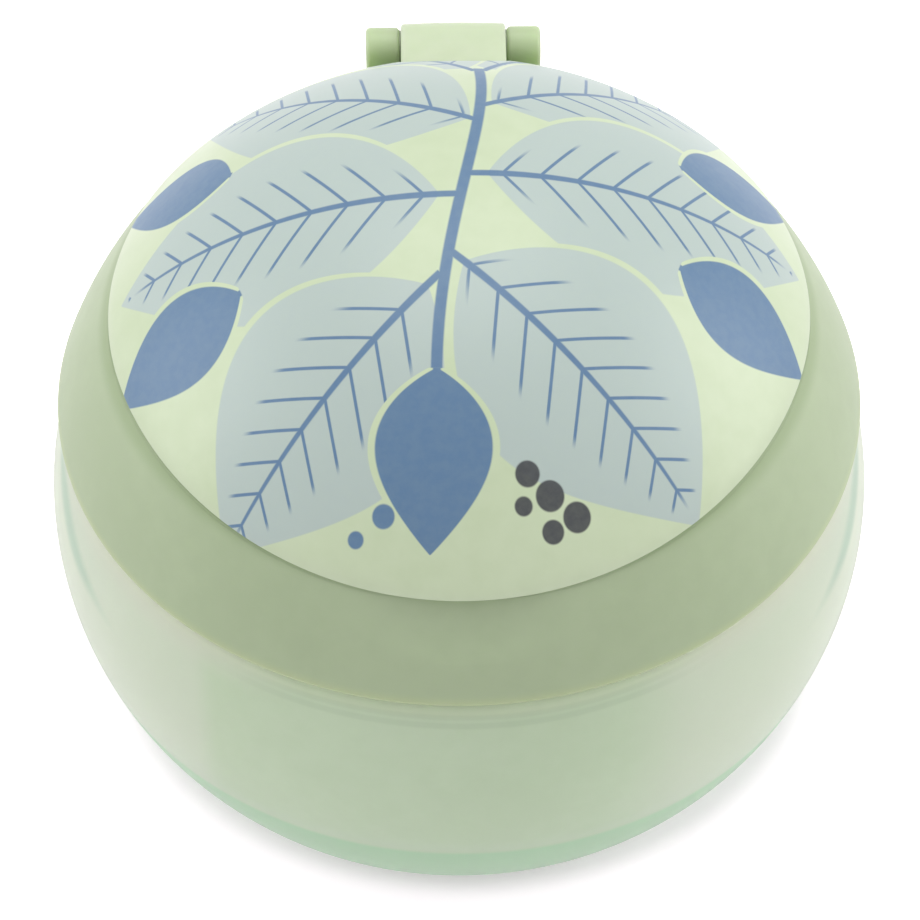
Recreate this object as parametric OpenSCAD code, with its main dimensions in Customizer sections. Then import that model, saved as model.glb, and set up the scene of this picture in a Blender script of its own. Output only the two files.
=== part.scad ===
// Round snack container for toddlers: a frosted bowl, a screw collar that carries a soft
// finger-proof flap insert, and a high domed lid that flips open on a pin hinge at the back.
// Millimetres. Z is up, the table is Z = 0, the thumb lip faces -Y and the hinge faces +Y.

/* [Bowl] */
// Outer radius of the plain screw neck, which everything that screws on follows
neck_r = 42.8; // [38:0.1:47.5]
// How far the belly stands out past the neck
belly_bulge = 10.4; // [9.2:0.1:12]
// Height of the widest point above the table
belly_z = 33.3; // [29.5:0.1:37]
// Radius of the belly's profile arc
belly_arc_r = 47; // [42:0.5:52]
// Wall thickness of the bowl and of its neck
bowl_wall = 1.8; // [1.5:0.1:2.1]
// Thickness of the bowl's floor
floor_t = 3.6; // [2.8:0.1:4.6]
// Height of the hollow under the floor, inside the foot ring
foot_recess = 1.2; // [0.6:0.1:1.8]
// Width of the foot ring that stands on the table
foot_ring_w = 5.5; // [4:0.1:8]
// Rounding between the belly and the foot ring
foot_round = 1.2; // [0.8:0.1:2]
// Height of the shoulder, on which the collar closes, above the widest point
shoulder_rise = 17.6; // [15.6:0.1:19.6]
// Rounding of the outer edge of the shoulder
shoulder_round = 2.5; // [1.5:0.1:3]
// Height of the screw neck above the shoulder
neck_h = 9.7; // [8.7:0.1:10.8]

/* [Collar] */
// Gap between the bowl's shoulder and the lower edge of the collar
collar_lift = 0.4; // [0.3:0.05:0.8]
// How far the collar stands out past the bowl's belly arc at its lower edge
collar_overhang = 1.8; // [1.4:0.1:2.2]
// Radius of the collar's profile arc
collar_arc_r = 57; // [50:0.5:64]
// Thickness of the collar's skin
collar_wall = 1.8; // [1.5:0.1:2.1]
// Thickness of the threaded skirt inside the collar
skirt_t = 1.6; // [1.2:0.1:1.8]
// Room between the plain neck and the plain bore, which the screw threads fill
thread_room = 1.6; // [1.4:0.1:1.8]
// Thickness of the collar's deck
deck_t = 1.9; // [1.6:0.1:2.2]
// How far the deck reaches in over the flap insert
insert_lap = 2.2; // [1.8:0.1:2.6]
// Thickness of the raised rim round the opening
coaming_t = 1.5; // [1.2:0.1:1.8]
// Height of the raised rim above the deck
coaming_h = 2; // [1.6:0.1:2.4]
// Number of stiffening ribs between the skin and the threaded skirt
rib_count = 12; // [6:1:24]
// Thickness of one stiffening rib
rib_t = 1.2; // [0.9:0.1:1.6]
// Depth of the thumb scoop under the lid's front lip
scoop_depth = 0.9; // [0.5:0.1:1]
// Radius of the round tool shape that leaves the thumb scoop
scoop_r = 12; // [8:0.5:16]

/* [Lid] */
// How far the lid's rim stands out past the neck
rim_out = 0.9; // [0.6:0.1:1.2]
// Height of the collar's rim wall above its deck, up to the line where the lid lands
rim_wall_h = 2.7; // [2.3:0.1:3.2]
// Slope of the dome at its rim, from the horizontal, in degrees
dome_slope = 52.5; // [46:0.5:59]
// Thickness of the lid's shell
lid_wall = 1.6; // [1.3:0.1:1.9]
// How far forward of the middle the lid's rim starts to dip
dip_start = 12; // [6:1:20]
// How far the rim has dipped at the thumb lip
dip_depth = 2.6; // [1.6:0.1:2.9]
// How far the lid's rim stands out past the collar's top edge
lid_overhang = 0.4; // [0.2:0.1:0.8]
// Depth of the flat on the dome's back, above the strap to the knuckle
hinge_flat_depth = 0.5; // [0.3:0.05:0.8]
// Slope of that flat, from the horizontal, in degrees
hinge_flat_slope = 43; // [40:1:46]
// Gap between the lid's rim and the collar
lid_gap = 0.3; // [0.2:0.05:0.4]
// Thickness of the plug rib that centres the lid in the opening
plug_t = 1.5; // [1.1:0.1:1.8]
// Gap between the plug rib and the opening
plug_gap = 0.3; // [0.2:0.05:0.5]
// How far the plug rib reaches below the raised rim's top
plug_depth = 1.9; // [1.2:0.1:2.2]

/* [Hinge] */
// How far behind the lid's rim the hinge pin lies
hinge_reach = 5.2; // [4.9:0.1:6]
// How far below the line where the lid lands the hinge pin lies
hinge_drop = 1.6; // [1.3:0.1:2]
// Radius of the lid's knuckle
knuckle_r = 3.4; // [3.1:0.05:3.7]
// Length of the lid's knuckle
knuckle_l = 14; // [10:0.5:18]
// How much smaller the lugs are than the knuckle, in radius
lug_inset = 0.6; // [0.3:0.05:0.8]
// Length of one lug along the pin
lug_l = 4.5; // [3.5:0.1:6]
// Gap between the knuckle and each lug
knuckle_gap = 0.2; // [0.15:0.05:0.4]
// Radius of the hinge pin
pin_r = 1.1; // [0.8:0.05:1.4]
// Radial clearance of the pin in the lid's knuckle
pin_running = 0.08; // [0.05:0.01:0.1]
// Radial clearance of the pin in the collar's lugs
pin_seat = 0.02; // [0.01:0.01:0.04]
// How far each end of the pin lies inside its lug
pin_inset = 0.4; // [0.2:0.1:0.8]

/* [Flap insert] */
// Thickness of a flap
flap_t = 1.2; // [0.9:0.1:1.4]
// Width of the slit between two flaps
slit_w = 0.6; // [0.4:0.1:1]
// Distance from the middle of the container to a flap's tip
flap_tip_r = 3.4; // [2.5:0.1:6]
// Thickness of the insert's ring
insert_t = 1.6; // [1.4:0.1:1.8]
// Room round the insert's ring, and between the ring and a flap's root
insert_gap = 0.3; // [0.2:0.05:0.4]
// Least width of the insert's ring that shows inside the retainer
corner_lap = 0.2; // [0.1:0.05:0.6]
// Thickness of the collar's inner skirt that holds the insert
holder_t = 1.5; // [1.2:0.1:1.7]
// Gap between the inner skirt and the bowl's neck
holder_gap = 0.8; // [0.6:0.1:1]
// How far the inner skirt reaches below its snap bead
holder_end = 1; // [0.5:0.1:1.5]
// Height of the ring that holds the insert up
retainer_h = 2.7; // [2:0.1:3]
// Width of the ring that holds the insert up
retainer_w = 2.7; // [2.2:0.1:3]
// How far the snap bead inside the skirt reaches under the retainer
bead_reach = 0.3; // [0.2:0.05:0.45]
// Height of the snap bead
bead_h = 0.8; // [0.5:0.1:1]

/* [Neck seal] */
// Thickness of the soft ring between the neck and the deck
seal_t = 1.3; // [1:0.1:1.6]
// Gap above and below a clamped soft ring, where it is stored unsqueezed
seat_gap = 0.1; // [0.05:0.01:0.15]

/* [Hidden] */
$fn = 120;
smooth_fn = 720; // for arcs of large radius
far = 200; // past everything
merge = 0.5; // how far one shape reaches into the next where the two are one piece

// Centre of the arc of radius r that bulges outwards on its way from p up to q
function arc_centre(p, q, r) =
    let (half = norm(q - p) / 2, along = (q - p) / norm(q - p))
    (p + q) / 2 + sqrt(r * r - half * half) * [-along.y, along.x];
// Distance from the axis of a circle of radius r round c, at height z
function arc_at(c, r, z) = c.x + sqrt(r * r - pow(z - c.y, 2));
// Centre of a rounding of radius f, centred at height z, that touches that circle from inside
function rounding_c(c, r, f, z) = [arc_at(c, r - f, z), z];
// Height at which the circle runs into that rounding
function rounding_end(c, r, f, z) = c.y + (z - c.y) * r / (r - f);

// Bowl: inside and outside are arcs round one centre
belly_r = neck_r + belly_bulge;
belly_c = [belly_r - belly_arc_r, belly_z];
shoulder_z = belly_z + shoulder_rise;
floor_round = 6; // between the floor and the wall, inside
mouth_round = 1; // under the neck, inside
neck_in_r = neck_r - bowl_wall;
neck_z = shoulder_z + neck_h;
neck_chamfer = 0.5;
foot_r = arc_at(belly_c, belly_arc_r - foot_round, foot_round);

// Levels above the neck
seal_z = neck_z + seat_gap;
seal_room = 0.3; // room inside and outside the soft ring
deck_z = seal_z + seal_t + seat_gap;
deck_top = deck_z + deck_t;
coaming_top = deck_top + coaming_h;
parting_z = deck_top + rim_wall_h;

// Radii inside the collar, each set by the piece inside or outside it
skirt_in_r = neck_r + thread_room;
skirt_r = skirt_in_r + skirt_t;
skirt_lift = 1; // the skirt and its ribs stop this far above the collar's lower edge
holder_r = neck_in_r - holder_gap;
holder_in_r = holder_r - holder_t;
opening_r = holder_in_r - insert_lap;
coaming_r = opening_r + coaming_t;

// Collar skin
collar_z = shoulder_z + collar_lift;
collar_foot_r = arc_at(belly_c, belly_arc_r, collar_z) + collar_overhang;
lid_rim_r = neck_r + rim_out;
collar_top_r = lid_rim_r - lid_overhang;
collar_c = arc_centre([collar_foot_r, collar_z], [collar_top_r, parting_z], collar_arc_r);
collar_edge_round = 0.6;
collar_mid_arc_r = collar_arc_r - collar_wall / 2;
scoop_below = 2.5; // the scoop is deepest this far below the lid's front lip

// Lid: one ball-shaped dome above the parting line
dome_r = lid_rim_r / sin(dome_slope);
dome_z = parting_z + lid_gap / 2 - dome_r * cos(dome_slope);
dip_run = lid_rim_r - dip_start;
dip_arc_r = (pow(dip_run, 2) + pow(dip_depth, 2)) / (2 * dip_depth);
plug_r = opening_r - plug_gap;
plug_z = coaming_top - plug_depth;

// Hinge
hinge_y = lid_rim_r + hinge_reach;
hinge_z = parting_z - hinge_drop;
hinge_back_r = hinge_y + knuckle_r;
lug_r = knuckle_r - lug_inset;
knuckle_round = 1.2;
lug_round = 0.6;
lug_foot_share = 0.36; // the lugs run into the skin this far up the collar's height
lug_out_x = knuckle_l / 2 + knuckle_gap + lug_l;
pin_l = 2 * (lug_out_x - pin_inset);

// Flap insert, from the deck down
flap_count = 6;
insert_r = holder_in_r - insert_gap;
insert_top = deck_z - seat_gap;
insert_z = insert_top - insert_t;
flap_z = insert_top - insert_t / 2;
retainer_r = holder_in_r - insert_gap / 2;
retainer_in_r = retainer_r - retainer_w;
ring_corner_r = retainer_in_r - corner_lap;
flap_root_r = ring_corner_r * cos(180 / flap_count) - insert_gap - flap_t / 2;
retainer_top = insert_z - seat_gap;
retainer_z = retainer_top - retainer_h;
bead_top = retainer_z - seat_gap;
bead_in_r = retainer_r - bead_reach;
holder_z = bead_top - bead_h - holder_end;

// ---- Shapes that more than one piece uses ----

// The area inside the belly arc between two levels, with both outer corners rounded
module belly_area(arc_r, low, low_round, high, high_round) {
    low_c = rounding_c(belly_c, arc_r, low_round, low + low_round);
    high_c = rounding_c(belly_c, arc_r, high_round, high - high_round);
    low_end = rounding_end(belly_c, arc_r, low_round, low_c.y);
    high_end = rounding_end(belly_c, arc_r, high_round, high_c.y);
    intersection() {
        translate(belly_c) circle(arc_r, $fn = smooth_fn);
        translate([0, low_end]) square([far, high_end - low_end]);
    }
    translate(low_c) circle(low_round);
    translate([0, low]) square([low_c.x, 2 * low_round]);
    translate(high_c) circle(high_round);
    translate([0, high - 2 * high_round]) square([high_c.x, 2 * high_round]);
}

// Everything below the line where lid and collar meet, which dips towards the thumb lip
module below_parting(lift) {
    rotate([90, 0, 90]) translate([0, 0, -far / 2]) linear_extrude(far) {
        translate([-dip_start, -far]) square([far, far + parting_z + lift]);
        intersection() {
            translate([-dip_start, parting_z + lift - dip_arc_r]) circle(dip_arc_r, $fn = smooth_fn);
            translate([-far - dip_start, -far]) square([far, 2 * far]);
        }
    }
}

// The area inside the collar's profile, shrunk by inset, between two levels
module collar_area(inset, low, high) {
    intersection() {
        translate(collar_c) circle(collar_arc_r - inset, $fn = smooth_fn);
        translate([0, low]) square([far, high - low]);
    }
}

// A tube standing on z
module tube(r_out, r_in, z, h) {
    translate([0, 0, z]) difference() {
        cylinder(r = r_out, h = h);
        translate([0, 0, -1]) cylinder(r = r_in, h = h + 2);
    }
}

// A barrel round the hinge line with rounded ends, centred on x
module barrel(r, l, x, end_round) {
    translate([x, hinge_y, hinge_z]) rotate([0, 90, 0]) rotate_extrude() {
        translate([0, -l / 2]) square([r - end_round, l]);
        translate([0, end_round - l / 2]) square([r, l - 2 * end_round]);
        for (side = [-1, 1])
            translate([r - end_round, side * (l / 2 - end_round)]) circle(end_round);
    }
}

// A slab l long, centred on x, with its outline drawn in Y and Z
module across(l, x) {
    translate([x - l / 2, 0, 0]) rotate([90, 0, 90]) linear_extrude(l) children();
}

module hinge_bore(clearance) {
    translate([-far / 2, hinge_y, hinge_z]) rotate([0, 90, 0]) cylinder(r = pin_r + clearance, h = far);
}

// ---- The pieces ----

module bowl() {
    color([0.75, 0.83, 0.69, 0.7]) rotate_extrude() difference() {
        union() {
            belly_area(belly_arc_r, 0, foot_round, shoulder_z, shoulder_round);
            translate([0, shoulder_z - merge]) square([neck_r, neck_h + merge - neck_chamfer]);
            translate([0, neck_z - neck_chamfer])
                polygon([[0, 0], [neck_r, 0], [neck_r - neck_chamfer, neck_chamfer], [0, neck_chamfer]]);
        }
        belly_area(belly_arc_r - bowl_wall, floor_t, floor_round, shoulder_z - bowl_wall, mouth_round);
        translate([0, belly_z]) square([neck_in_r, far]);
        translate([0, -1]) square([foot_r - foot_ring_w, foot_recess + 1]);
    }
}

module neck_seal() {
    color([0.93, 0.94, 0.9])
        tube(skirt_in_r - seal_room, holder_r + seal_room, seal_z, seal_t);
}

// Skin, deck and skirts of the collar, all turned round the axis
module collar_shell() {
    edge_c = rounding_c(collar_c, collar_arc_r, collar_edge_round, collar_z + collar_edge_round);
    edge_end = rounding_end(collar_c, collar_arc_r, collar_edge_round, edge_c.y);
    intersection() {
        rotate_extrude() difference() {
            union() {
                collar_area(0, edge_end, parting_z);
                translate(edge_c) circle(collar_edge_round);
                translate([0, collar_z]) square([edge_c.x, 2 * collar_edge_round]);
            }
            collar_area(collar_wall, 0, deck_z);
            collar_area(collar_wall, deck_top, far);
            square([opening_r, far]);
        }
        below_parting(-lid_gap / 2);
    }
    tube(coaming_r, opening_r, deck_z, deck_t + coaming_h);
    tube(skirt_r, skirt_in_r, collar_z + skirt_lift, deck_z - collar_z - skirt_lift + merge);
    tube(holder_r, holder_in_r, holder_z, deck_z - holder_z + merge);
    tube(holder_in_r + holder_t / 2, bead_in_r, bead_top - bead_h, bead_h);
}

module collar_ribs() {
    intersection() {
        for (i = [0 : rib_count - 1])
            rotate((i + 0.5) * 360 / rib_count)
                translate([0, -rib_t / 2, 0]) cube([far, rib_t, far]);
        rotate_extrude() difference() {
            collar_area(collar_wall / 2, collar_z + skirt_lift, deck_z);
            square([skirt_r - skirt_t / 2, far]);
        }
    }
}

module hinge_lugs() {
    lug_foot_z = collar_z + lug_foot_share * (parting_z - collar_z);
    lug_foot_y = arc_at(collar_c, collar_mid_arc_r, lug_foot_z);
    difference() {
        for (side = [-1, 1]) {
            x = side * (lug_out_x - lug_l / 2);
            barrel(lug_r, lug_l, x, lug_round);
            across(lug_l, x) polygon([
                [hinge_y - lug_r, hinge_z],
                [hinge_y - lug_r, lug_foot_z],
                [lug_foot_y, lug_foot_z],
                [hinge_y + lug_r, hinge_z - lug_r],
                [hinge_y + lug_r, hinge_z]]);
        }
        rotate_extrude() collar_area(collar_wall / 2, 0, far);
    }
}

module collar() {
    scoop_z = parting_z - dip_depth - scoop_below;
    slope = asin((scoop_z - collar_c.y) / collar_arc_r);
    scoop_c = collar_c + (collar_arc_r + scoop_r - scoop_depth) * [cos(slope), sin(slope)];
    color([0.62, 0.68, 0.54]) difference() {
        union() {
            collar_shell();
            collar_ribs();
            hinge_lugs();
        }
        hinge_bore(pin_seat);
        translate([-far / 2, -scoop_c.x, scoop_c.y]) rotate([0, 90, 0]) cylinder(r = scoop_r, h = far);
    }
}

module flap_ring() {
    color([0.72, 0.78, 0.66]) difference() {
        translate([0, 0, insert_z]) cylinder(r = insert_r, h = insert_t);
        rotate(180 / flap_count) translate([0, 0, insert_z - 1])
            cylinder(r = ring_corner_r, h = insert_t + 2, $fn = flap_count);
    }
}

// Half the width of a flap at distance r from the middle
function flap_half(r) = r * tan(180 / flap_count) - slit_w / 2 / cos(180 / flap_count);

module flap(i) {
    root_half = flap_half(flap_root_r);
    tip_half = flap_half(flap_tip_r);
    color([0.72, 0.78, 0.66]) rotate((i - 1) * 360 / flap_count) translate([0, 0, flap_z]) {
        translate([0, 0, -flap_t / 2]) linear_extrude(flap_t) polygon([
            [flap_root_r, root_half],
            [flap_tip_r, tip_half],
            [flap_tip_r, -tip_half],
            [flap_root_r, -root_half]]);
        translate([flap_root_r, root_half, 0]) rotate([90, 0, 0])
            cylinder(r = flap_t / 2, h = 2 * root_half, $fn = 24);
    }
}

module insert_retainer() {
    color([0.93, 0.94, 0.9]) tube(retainer_r, retainer_in_r, retainer_z, retainer_h);
}

module hinge_pin() {
    color([0.62, 0.68, 0.54]) translate([-pin_l / 2, hinge_y, hinge_z])
        rotate([0, 90, 0]) cylinder(r = pin_r, h = pin_l);
}

// What is cut away for the flat on the dome's back
module hinge_flat() {
    translate([0, 0, dome_z]) rotate([-hinge_flat_slope, 0, 0])
        translate([-far / 2, -far / 2, dome_r - hinge_flat_depth]) cube(far);
}

// Strap that joins the dome to the knuckle, level with the knuckle's top
module hinge_strap() {
    strap_z = parting_z + lid_gap / 2;
    across(knuckle_l, 0) translate([plug_r, strap_z])
        square([hinge_y - plug_r, hinge_z + knuckle_r - strap_z]);
}

module lid() {
    color([0.82, 0.88, 0.74]) difference() {
        union() {
            difference() {
                union() {
                    difference() {
                        translate([0, 0, dome_z]) sphere(dome_r, $fn = smooth_fn / 2);
                        hinge_flat();
                    }
                    hinge_strap();
                }
                translate([0, 0, dome_z]) sphere(dome_r - lid_wall, $fn = smooth_fn / 2);
                below_parting(lid_gap / 2);
            }
            intersection() {
                tube(plug_r, plug_r - plug_t, plug_z, far);
                translate([0, 0, dome_z]) sphere(dome_r - lid_wall / 2, $fn = smooth_fn / 2);
            }
            intersection() {
                barrel(knuckle_r, knuckle_l, 0, knuckle_round);
                cylinder(r = hinge_back_r, h = far, $fn = smooth_fn);
            }
        }
        hinge_bore(pin_running);
    }
}

bowl();
neck_seal();
collar();
flap_ring();
insert_retainer();
hinge_pin();
lid();
flap(1);  // flap_1
flap(2);  // flap_2
flap(3);  // flap_3
flap(4);  // flap_4
flap(5);  // flap_5
flap(6);  // flap_6
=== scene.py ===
from math import acos, atan2, cos, pi, radians, sin, sqrt, tan

import bpy
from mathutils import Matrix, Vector


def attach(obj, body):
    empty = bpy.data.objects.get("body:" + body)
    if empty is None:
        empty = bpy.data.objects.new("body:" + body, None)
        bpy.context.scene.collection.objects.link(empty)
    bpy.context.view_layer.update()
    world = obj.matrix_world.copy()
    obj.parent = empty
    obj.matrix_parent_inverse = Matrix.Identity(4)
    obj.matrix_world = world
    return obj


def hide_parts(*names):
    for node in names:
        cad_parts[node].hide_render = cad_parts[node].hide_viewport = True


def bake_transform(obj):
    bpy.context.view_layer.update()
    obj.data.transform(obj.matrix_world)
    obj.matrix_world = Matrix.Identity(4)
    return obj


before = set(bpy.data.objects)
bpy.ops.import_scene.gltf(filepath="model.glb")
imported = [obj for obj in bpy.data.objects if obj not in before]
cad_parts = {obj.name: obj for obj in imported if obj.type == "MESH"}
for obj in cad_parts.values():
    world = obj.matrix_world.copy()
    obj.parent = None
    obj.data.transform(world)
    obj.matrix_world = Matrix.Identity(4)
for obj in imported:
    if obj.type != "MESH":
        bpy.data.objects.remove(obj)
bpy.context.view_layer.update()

# ---- Sizes of this container, in millimetres ----
MM = 0.001
RIM_R = 43.7                    # lid rim
PARTING_Z, LID_GAP = 66.7, 0.3  # where the lid lands, and the gap under it
DOME_SLOPE = 52.5               # at the rim, in degrees
DOME_R = RIM_R / sin(radians(DOME_SLOPE))
DOME_Z = PARTING_Z + LID_GAP / 2 - DOME_R * cos(radians(DOME_SLOPE))
LID_WALL = 1.6
FLAT_DEPTH, FLAT_SLOPE = 0.5, 43.0      # the flat on the dome's back, above the strap
PLUG_R, PLUG_T, PLUG_Z = 36.2, 1.5, 64.1
BELLY_CENTRE, BELLY_R, BOWL_WALL = (6.2, 33.3), 47.0, 1.8
BOWL_FLOOR, FOOT_RING_W, FOOT_RECESS = 3.6, 5.5, 1.2
NECK_FOOT, NECK_TOP = 50.9, 60.6
NECK_R, NECK_CREST_R = 42.8, 43.85      # the bowl's plain neck and its thread
BORE_R, BORE_CREST_R = 44.4, 43.35      # the bore of the collar's skirt and its thread
LEAD, STARTS = 9.0, 3                   # rise of the collar in one turn, threads side by side
RIDGE_FOOT, RIDGE_CREST = 0.65, 0.35    # half the width of a thread at the wall and at its crest
RIDGE_ROOT = 0.25                       # how deep a thread stands in its wall
SKIN_R, SKIN_WALL = 57.0, 1.8
SKIN_FOOT_Z, SKIN_LEDGE = 51.3, 1.8     # the skin's foot, and how far it stands out over the belly
DECK_Z, DECK_TOP, COAMING_TOP = 62.1, 64.0, 66.0
OPENING_R, COAMING_R = 36.5, 38.0
SKIRT_R, HOLDER_R, HOLDER_IN_R = 46.0, 40.2, 38.7
RIBS, RIB_T = 12, 1.2
HOLDER_Z, BEAD_TOP, BEAD_H, BEAD_IN_R = 55.7, 57.5, 0.8, 38.25
DIP_START, DIP_DEPTH = 12.0, 2.3
HINGE_Y, HINGE_Z = 48.9, 65.1
KNUCKLE_R, KNUCKLE_L, KNUCKLE_GAP = 3.4, 14.0, 0.2
STRAP_LAP = 0.04                        # the strap's underside lies this far below the lid's rim
LUG_R, LUG_L, LUG_FOOT = 2.8, 4.5, 0.36     # the foot as a share of the skin's height
BOSS_R = 2.4
PIN_R, PIN_IN_LUG, PIN_IN_KNUCKLE = 1.1, 0.02, 0.08     # radius, and its play in each bore
SEAL_IN_R, SEAL_OUT_R, SEAL_LOW, SEAL_TOP = 40.5, 44.1, 60.7, 62.0
HOLDING_IN_R, HOLDING_OUT_R, HOLDING_LOW, HOLDING_TOP = 35.85, 38.55, 57.6, 60.3
FLAPS, FLAP_SLIT = 6, 0.6
FLAP_ROOT, FLAP_TIP = 30.9, 3.4
FLAP_Z, FLAP_T, FLAP_TAPER = 61.2, 1.2, 0.35
SMOOTH_UNDER = 32                       # degrees between faces that are shaded as one surface


def arc_at(centre, r, z):
    """Distance from the container's axis of a circle of radius r round centre, at height z."""
    return centre[0] + sqrt(r * r - (z - centre[1]) ** 2)


def arc_centre(p, q, r):
    """Centre of the arc of radius r that bulges outwards on its way from p up to q."""
    dx, dz = q[0] - p[0], q[1] - p[1]
    run = sqrt(dx * dx + dz * dz)
    lift = sqrt(r * r - run * run / 4)
    return ((p[0] + q[0]) / 2 - lift * dz / run, (p[1] + q[1]) / 2 + lift * dx / run)


SKIN_CENTRE = arc_centre((arc_at(BELLY_CENTRE, BELLY_R, SKIN_FOOT_Z) + SKIN_LEDGE, SKIN_FOOT_Z),
                         (RIM_R - 0.4, PARTING_Z), SKIN_R)


def parting_height(y):
    """Height, at y, of the surface where lid and collar meet: level, then dipping to the thumb lip."""
    run = RIM_R - DIP_START
    dip_r = (run * run + DIP_DEPTH * DIP_DEPTH) / (2 * DIP_DEPTH)
    past = -DIP_START - y
    return PARTING_Z if past <= 0 else PARTING_Z - dip_r + sqrt(dip_r * dip_r - past * past)


# ---- Colour and node helpers ----
def srgb(r, g, b, a=1.0):
    """Linear colour from an 8-bit display colour."""
    def lin(c):
        c /= 255.0
        return c / 12.92 if c <= 0.04045 else ((c + 0.055) / 1.055) ** 2.4
    return (lin(r), lin(g), lin(b), a)


class Board:
    """A node tree being wired, with short words for the usual nodes."""

    def __init__(self, tree):
        self.tree = tree

    def add(self, kind, **settings):
        n = self.tree.nodes.new(kind)
        for k, v in settings.items():
            setattr(n, k, v)
        return n

    def feed(self, socket, value):
        if hasattr(value, "is_output"):
            self.tree.links.new(value, socket)
        else:
            socket.default_value = value

    def maths(self, operation, a, b=0.0, c=0.0):
        n = self.add("ShaderNodeMath", operation=operation)
        for i, v in enumerate((a, b, c)):
            self.feed(n.inputs[i], v)
        return n.outputs[0]

    def vector(self, operation, a, b=(0, 0, 0)):
        n = self.add("ShaderNodeVectorMath", operation=operation)
        self.feed(n.inputs[0], a)
        self.feed(n.inputs[1], b)
        return n.outputs["Value"] if operation in ("LENGTH", "DOT_PRODUCT") else n.outputs[0]

    def split(self, v):
        n = self.add("ShaderNodeSeparateXYZ")
        self.feed(n.inputs[0], v)
        return n.outputs

    def join(self, x, y, z=0.0):
        n = self.add("ShaderNodeCombineXYZ")
        for i, v in enumerate((x, y, z)):
            self.feed(n.inputs[i], v)
        return n.outputs[0]

    def blend(self, factor, a, b):
        n = self.add("ShaderNodeMix", data_type="RGBA")
        self.feed(n.inputs["Factor"], factor)
        self.feed(n.inputs["A"], a)
        self.feed(n.inputs["B"], b)
        return n.outputs["Result"]

    def ramp(self, value, low, high, to_low=0.0, to_high=1.0, smooth=True):
        n = self.add("ShaderNodeMapRange", interpolation_type="SMOOTHSTEP" if smooth else "LINEAR")
        for name, v in (("Value", value), ("From Min", low), ("From Max", high),
                        ("To Min", to_low), ("To Max", to_high)):
            self.feed(n.inputs[name], v)
        return n.outputs["Result"]

    def noise(self, where, scale, detail=2.0, roughness=0.5):
        n = self.add("ShaderNodeTexNoise")
        self.feed(n.inputs["Vector"], where)
        for name, v in (("Scale", scale), ("Detail", detail), ("Roughness", roughness)):
            n.inputs[name].default_value = v
        return n.outputs["Fac"]

    def group(self, tree, **values):
        n = self.add("ShaderNodeGroup", node_tree=tree)
        for name, v in values.items():
            self.feed(n.inputs[name.replace("_", " ")], v)
        return n


def new_group(name, inputs, outputs):
    """A shader node group; inputs are (name, kind, default), outputs are (name, kind)."""
    tree = bpy.data.node_groups.new(name, "ShaderNodeTree")
    for label, kind, default in inputs:
        s = tree.interface.new_socket(label, in_out="INPUT", socket_type="NodeSocket" + kind)
        s.default_value = default
    for label, kind in outputs:
        tree.interface.new_socket(label, in_out="OUTPUT", socket_type="NodeSocket" + kind)
    b = Board(tree)
    return tree, b, b.add("NodeGroupInput").outputs, b.add("NodeGroupOutput").inputs


def moulded_skin_group():
    """Colour drift and fine grain of a moulded plastic skin, all on millimetre coordinates."""
    tree, b, ins, outs = new_group(
        "moulded_skin",
        [("Where", "Vector", (0, 0, 0)), ("Colour", "Color", (0.8, 0.8, 0.8, 1)),
         ("Deeper", "Color", (0.7, 0.7, 0.7, 1)), ("Grain size", "Float", 3.0),
         ("Roughness", "Float", 0.4), ("Roughness drift", "Float", 0.06)],
        [("Colour", "Color"), ("Roughness", "Float"), ("Height", "Float")])
    slow = b.noise(ins["Where"], 0.045, 2.0)
    cloud = b.noise(ins["Where"], 0.35, 3.0)
    fine = b.noise(ins["Where"], 1.0, 3.0, 0.6)
    grain = b.add("ShaderNodeTexNoise")
    b.feed(grain.inputs["Vector"], ins["Where"])
    b.feed(grain.inputs["Scale"], ins["Grain size"])
    grain.inputs["Detail"].default_value = 2.0
    drift = b.maths("ADD", b.maths("MULTIPLY", slow, 0.65), b.maths("MULTIPLY", cloud, 0.35))
    b.feed(outs["Colour"], b.blend(b.ramp(drift, 0.35, 0.65), ins["Colour"], ins["Deeper"]))
    b.feed(outs["Roughness"], b.maths("MULTIPLY_ADD", b.maths("SUBTRACT", fine, 0.5),
                                      ins["Roughness drift"], ins["Roughness"]))
    b.feed(outs["Height"], b.maths("ADD", b.maths("MULTIPLY", grain.outputs["Fac"], 0.4),
                                   b.maths("MULTIPLY", cloud, 0.6)))
    return tree


def dome_chart_group():
    """Flat print coordinates on the dome: arc length from its top, in millimetres."""
    tree, b, ins, outs = new_group(
        "dome_chart", [("Where", "Vector", (0, 0, 0)), ("Centre height", "Float", DOME_Z)],
        [("Chart", "Vector"), ("From centre", "Float")])
    v = b.vector("SUBTRACT", ins["Where"], b.join(0.0, 0.0, ins["Centre height"]))
    r = b.vector("LENGTH", v)
    x, y, z = b.split(v)
    angle = b.maths("ARCCOSINE", b.maths("DIVIDE", z, b.maths("MAXIMUM", r, 0.001)))
    flat = b.maths("SQRT", b.maths("ADD", b.maths("MULTIPLY", x, x), b.maths("MULTIPLY", y, y)))
    arc = b.maths("MULTIPLY", angle, DOME_R)
    stretch = b.maths("DIVIDE", arc, b.maths("MAXIMUM", flat, 0.01))
    b.feed(outs["Chart"], b.join(b.maths("MULTIPLY", x, stretch), b.maths("MULTIPLY", y, stretch)))
    b.feed(outs["From centre"], r)
    return tree


VEIN_PITCH, VEIN_LEAN, STALK_HALF, STEM_HALF = 4.6, 0.75, 0.5, 0.7    # of the printed leaves and stem


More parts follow.
